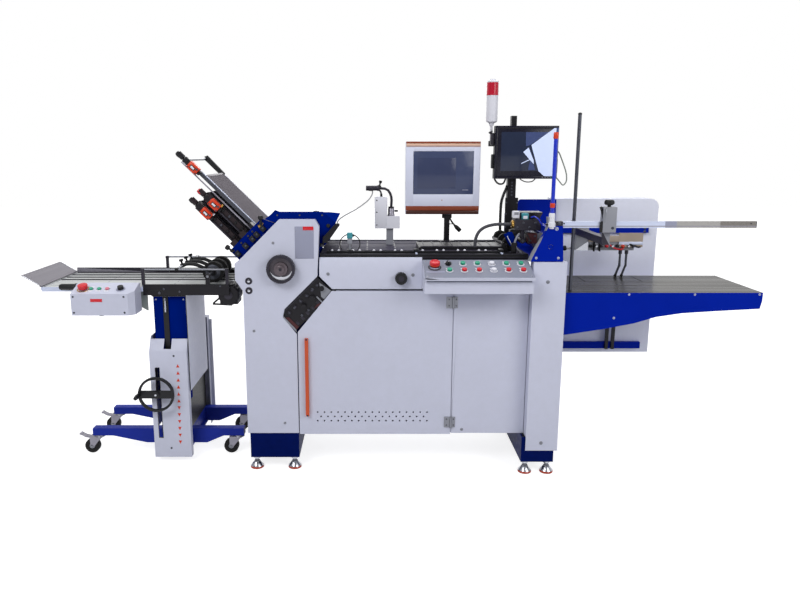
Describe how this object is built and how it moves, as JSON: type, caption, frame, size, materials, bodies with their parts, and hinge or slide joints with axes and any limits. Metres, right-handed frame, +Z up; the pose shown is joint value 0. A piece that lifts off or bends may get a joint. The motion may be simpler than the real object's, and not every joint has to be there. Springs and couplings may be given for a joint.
{
  "type": "paper folding machine",
  "caption": "Floor-standing buckle folding machine: pile feeder, register table, slanted fold unit with pull-out fold plates, and a wheeled height-adjustable delivery stand.",
  "frame": {"origin": "on the floor under the middle of the whole machine's bounding box, delivery stand included", "axes": "+X to the operator's right, from delivery to feeder; +Y away from the operator; +Z up"},
  "size_m": [3.024, 0.8, 1.633],
  "materials": {
    "cover_white": "satin lavender white powder coat",
    "plate_blue": "gloss ultramarine enamel",
    "navy": "satin navy enamel",
    "beam_blue": "satin blue enamel",
    "machine_grey": "grey machine enamel",
    "cast_grey": "painted casting",
    "steel": "ground and brushed",
    "bed_alloy": "anodised sheet",
    "plate_alloy": "anodised grid",
    "dark_metal": "black oxide",
    "black_plastic": "matt black",
    "rubber": "matt black rubber",
    "signal_red": "glossy red",
    "signal_green": "glossy green",
    "white_plastic": "matt off white",
    "hose_grey": "flexible grey hose"
  },
  "bodies": {
    "machine": {"left_plinth": "navy", "right_plinth": "navy", "cabinet_shell": "cover_white", "fold_side_cover": "cover_white", "fixed_front_panel": "cover_white", "belt_side_cover": "cover_white", "column_cover": "cover_white", "fold_frame": "navy", "register_table": "steel", "monitor_mast": "dark_metal", "control_desk": "cover_white", "feeder_frame": "plate_blue", "electric_cabinet": "cover_white", "drive_motor": "cast_grey", "vacuum_pump": "cast_grey", "suction_hose": "hose_grey", "spray_tube": "hose_grey"},
    "trolley": {"trolley_base": "beam_blue", "trolley_cover": "cover_white"},
    "lift": {"trolley_lift": "beam_blue", "delivery_bed": "bed_alloy", "control_box": "cover_white"},
    "hood": {"fold_hood": "navy"},
    "door": {"cabinet_door": "cover_white"},
    "upper_roller": {"fold_handwheel_roller": "cast_grey"},
    "lower_roller": {"fold_roller_lower": "steel"},
    "plate_1": {"fold_plate_1": "plate_alloy"},
    "plate_2": {"fold_plate_2": "plate_alloy"},
    "plate_3": {"fold_plate_3": "plate_alloy"},
    "pile_table": {"feed_table": "dark_metal"},
    "separator": {"pile_separator": "machine_grey"},
    "drum": {"suction_drum": "steel"},
    "screen": {"operator_screen": "white_plastic"},
    "camera_screen": {"camera_monitor": "black_plastic"},
    "belt_knob": {"belt_tension_knob": "black_plastic"},
    "main_stop": {"main_stop_button": "signal_red"},
    "selector": {"mode_selector": "black_plastic"},
    "button_1_lower": {"desk_button_1_lower": "signal_green"},
    "button_2_upper": {"desk_button_2_upper": "signal_green"},
    "button_2_lower": {"desk_button_2_lower": "signal_red"},
    "button_3_upper": {"desk_button_3_upper": "signal_green"},
    "button_3_lower": {"desk_button_3_lower": "signal_red"},
    "button_4_upper": {"desk_button_4_upper": "white_plastic"},
    "button_4_lower": {"desk_button_4_lower": "black_plastic"},
    "button_5_upper": {"desk_button_5_upper": "signal_green"},
    "button_5_lower": {"desk_button_5_lower": "signal_red"},
    "button_6_upper": {"desk_button_6_upper": "signal_green"},
    "button_6_lower": {"desk_button_6_lower": "signal_red"},
    "lift_wheel": {"lift_handwheel": "black_plastic"},
    "press_rollers": {"press_wheels": "rubber"},
    "tray": {"exit_tray": "steel"},
    "box_stop": {"box_stop_button": "signal_red"},
    "fork_front_left": {"caster_fork_front_left": "machine_grey"},
    "wheel_front_left": {"caster_wheel_front_left": "rubber"},
    "fork_front_right": {"caster_fork_front_right": "machine_grey"},
    "wheel_front_right": {"caster_wheel_front_right": "rubber"},
    "fork_rear_left": {"caster_fork_rear_left": "machine_grey"},
    "wheel_rear_left": {"caster_wheel_rear_left": "rubber"},
    "fork_rear_right": {"caster_fork_rear_right": "machine_grey"},
    "wheel_rear_right": {"caster_wheel_rear_right": "rubber"}
  },
  "joints": [
    {"name": "hood_hinge", "type": "hinge", "parent": "machine", "child": "hood", "pos_m": [-0.452, 0, 1.0403], "axis": [0, -1, 0], "range_deg": [0, 70]},
    {"name": "door_hinge", "type": "hinge", "parent": "machine", "child": "door", "pos_m": [0.27, -0.256, 0.46], "axis": [0, 0, 1], "range_deg": [0, 110]},
    {"name": "upper_roller_spin", "type": "hinge", "parent": "machine", "child": "upper_roller", "pos_m": [-0.423, 0, 0.864], "axis": [0, -1, 0], "continuous": true},
    {"name": "lower_roller_spin", "type": "hinge", "parent": "machine", "child": "lower_roller", "pos_m": [-0.45737, 0, 0.82963], "axis": [0, -1, 0], "continuous": true},
    {"name": "plate_1_slide", "type": "slide", "parent": "machine", "child": "plate_1", "axis": [-0.7071, 0, 0.7071], "range_m": [0, 0.15]},
    {"name": "plate_2_slide", "type": "slide", "parent": "machine", "child": "plate_2", "axis": [-0.7071, 0, 0.7071], "range_m": [0, 0.15]},
    {"name": "plate_3_slide", "type": "slide", "parent": "machine", "child": "plate_3", "axis": [-0.7071, 0, 0.7071], "range_m": [0, 0.15]},
    {"name": "pile_table_lift", "type": "slide", "parent": "machine", "child": "pile_table", "axis": [0, 0, 1], "range_m": [-0.43, 0]},
    {"name": "separator_slide", "type": "slide", "parent": "machine", "child": "separator", "axis": [1, 0, 0], "range_m": [-0.05, 0.35]},
    {"name": "drum_spin", "type": "hinge", "parent": "machine", "child": "drum", "pos_m": [0.64, 0, 0.956], "axis": [0, 1, 0], "continuous": true},
    {"name": "screen_swivel", "type": "hinge", "parent": "machine", "child": "screen", "pos_m": [0.282, 0.178, 1.045], "axis": [0, 0, 1], "range_deg": [-60, 60]},
    {"name": "camera_screen_tilt", "type": "hinge", "parent": "machine", "child": "camera_screen", "pos_m": [0.57, 0.154, 1.3185], "axis": [1, 0, 0], "range_deg": [-10, 10]},
    {"name": "belt_knob_turn", "type": "hinge", "parent": "machine", "child": "belt_knob", "pos_m": [0.057, -0.25, 0.824], "axis": [0, -1, 0], "continuous": true},
    {"name": "main_stop_push", "type": "slide", "parent": "machine", "child": "main_stop", "axis": [0, 0.3045, -0.9525], "range_m": [0, 0.006], "stiffness_N_per_m": 400, "springref_m": -0.003},
    {"name": "selector_turn", "type": "hinge", "parent": "machine", "child": "selector", "pos_m": [0.241, -0.29205, 0.88551], "axis": [0, -0.3045, 0.9525], "range_deg": [-45, 45]},
    {"name": "button_1_lower_push", "type": "slide", "parent": "machine", "child": "button_1_lower", "axis": [0, 0.3045, -0.9525], "range_m": [0, 0.004], "stiffness_N_per_m": 200, "springref_m": -0.002},
    {"name": "button_2_upper_push", "type": "slide", "parent": "machine", "child": "button_2_upper", "axis": [0, 0.3045, -0.9525], "range_m": [0, 0.004], "stiffness_N_per_m": 200, "springref_m": -0.002},
    {"name": "button_2_lower_push", "type": "slide", "parent": "machine", "child": "button_2_lower", "axis": [0, 0.3045, -0.9525], "range_m": [0, 0.004], "stiffness_N_per_m": 200, "springref_m": -0.002},
    {"name": "button_3_upper_push", "type": "slide", "parent": "machine", "child": "button_3_upper", "axis": [0, 0.3045, -0.9525], "range_m": [0, 0.004], "stiffness_N_per_m": 200, "springref_m": -0.002},
    {"name": "button_3_lower_push", "type": "slide", "parent": "machine", "child": "button_3_lower", "axis": [0, 0.3045, -0.9525], "range_m": [0, 0.004], "stiffness_N_per_m": 200, "springref_m": -0.002},
    {"name": "button_4_upper_push", "type": "slide", "parent": "machine", "child": "button_4_upper", "axis": [0, 0.3045, -0.9525], "range_m": [0, 0.004], "stiffness_N_per_m": 200, "springref_m": -0.002},
    {"name": "button_4_lower_push", "type": "slide", "parent": "machine", "child": "button_4_lower", "axis": [0, 0.3045, -0.9525], "range_m": [0, 0.004], "stiffness_N_per_m": 200, "springref_m": -0.002},
    {"name": "button_5_upper_push", "type": "slide", "parent": "machine", "child": "button_5_upper", "axis": [0, 0.3045, -0.9525], "range_m": [0, 0.004], "stiffness_N_per_m": 200, "springref_m": -0.002},
    {"name": "button_5_lower_push", "type": "slide", "parent": "machine", "child": "button_5_lower", "axis": [0, 0.3045, -0.9525], "range_m": [0, 0.004], "stiffness_N_per_m": 200, "springref_m": -0.002},
    {"name": "button_6_upper_push", "type": "slide", "parent": "machine", "child": "button_6_upper", "axis": [0, 0.3045, -0.9525], "range_m": [0, 0.004], "stiffness_N_per_m": 200, "springref_m": -0.002},
    {"name": "button_6_lower_push", "type": "slide", "parent": "machine", "child": "button_6_lower", "axis": [0, 0.3045, -0.9525], "range_m": [0, 0.004], "stiffness_N_per_m": 200, "springref_m": -0.002},
    {"name": "trolley_roll", "type": "slide", "parent": "machine", "child": "trolley", "axis": [1, 0, 0], "range_m": [-0.5, 0]},
    {"name": "lift_slide", "type": "slide", "parent": "trolley", "child": "lift", "axis": [0, 0, 1], "range_m": [-0.18, 0.08]},
    {"name": "lift_wheel_turn", "type": "hinge", "parent": "lift", "child": "lift_wheel", "pos_m": [-0.969, -0.2, 0.319], "axis": [0, -1, 0], "range_deg": [-2170, 970]},
    {"name": "press_rollers_spin", "type": "hinge", "parent": "lift", "child": "press_rollers", "pos_m": [-0.741, 0, 0.8153], "axis": [0, 1, 0], "continuous": true},
    {"name": "tray_hinge", "type": "hinge", "parent": "lift", "child": "tray", "pos_m": [-1.4363, 0.02, 0.7746], "axis": [0, 1, 0], "range_deg": [-30, 60]},
    {"name": "box_stop_push", "type": "slide", "parent": "lift", "child": "box_stop", "axis": [0, 0.3242, -0.946], "range_m": [0, 0.006], "stiffness_N_per_m": 400, "springref_m": -0.003},
    {"name": "fork_front_left_swivel", "type": "hinge", "parent": "trolley", "child": "fork_front_left", "pos_m": [-1.275, -0.074, 0.08], "axis": [0, 0, 1], "continuous": true},
    {"name": "wheel_front_left_spin", "type": "hinge", "parent": "fork_front_left", "child": "wheel_front_left", "pos_m": [-1.31, -0.074, 0.0325], "axis": [0, 1, 0], "continuous": true},
    {"name": "fork_front_right_swivel", "type": "hinge", "parent": "trolley", "child": "fork_front_right", "pos_m": [-0.653, -0.074, 0.08], "axis": [0, 0, 1], "continuous": true},
    {"name": "wheel_front_right_spin", "type": "hinge", "parent": "fork_front_right", "child": "wheel_front_right", "pos_m": [-0.688, -0.074, 0.0325], "axis": [0, 1, 0], "continuous": true},
    {"name": "fork_rear_left_swivel", "type": "hinge", "parent": "trolley", "child": "fork_rear_left", "pos_m": [-1.275, 0.19, 0.08], "axis": [0, 0, 1], "continuous": true},
    {"name": "wheel_rear_left_spin", "type": "hinge", "parent": "fork_rear_left", "child": "wheel_rear_left", "pos_m": [-1.31, 0.19, 0.0325], "axis": [0, 1, 0], "continuous": true},
    {"name": "fork_rear_right_swivel", "type": "hinge", "parent": "trolley", "child": "fork_rear_right", "pos_m": [-0.653, 0.19, 0.08], "axis": [0, 0, 1], "continuous": true},
    {"name": "wheel_rear_right_spin", "type": "hinge", "parent": "fork_rear_right", "child": "wheel_rear_right", "pos_m": [-0.688, 0.19, 0.0325], "axis": [0, 1, 0], "continuous": true}
  ],
  "couplings": [
    {"joint": "lower_roller_spin", "follows": "upper_roller_spin", "ratio": -1},
    {"joint": "lift_wheel_turn", "follows": "lift_slide", "rad_per_m": 209.44}
  ]
}
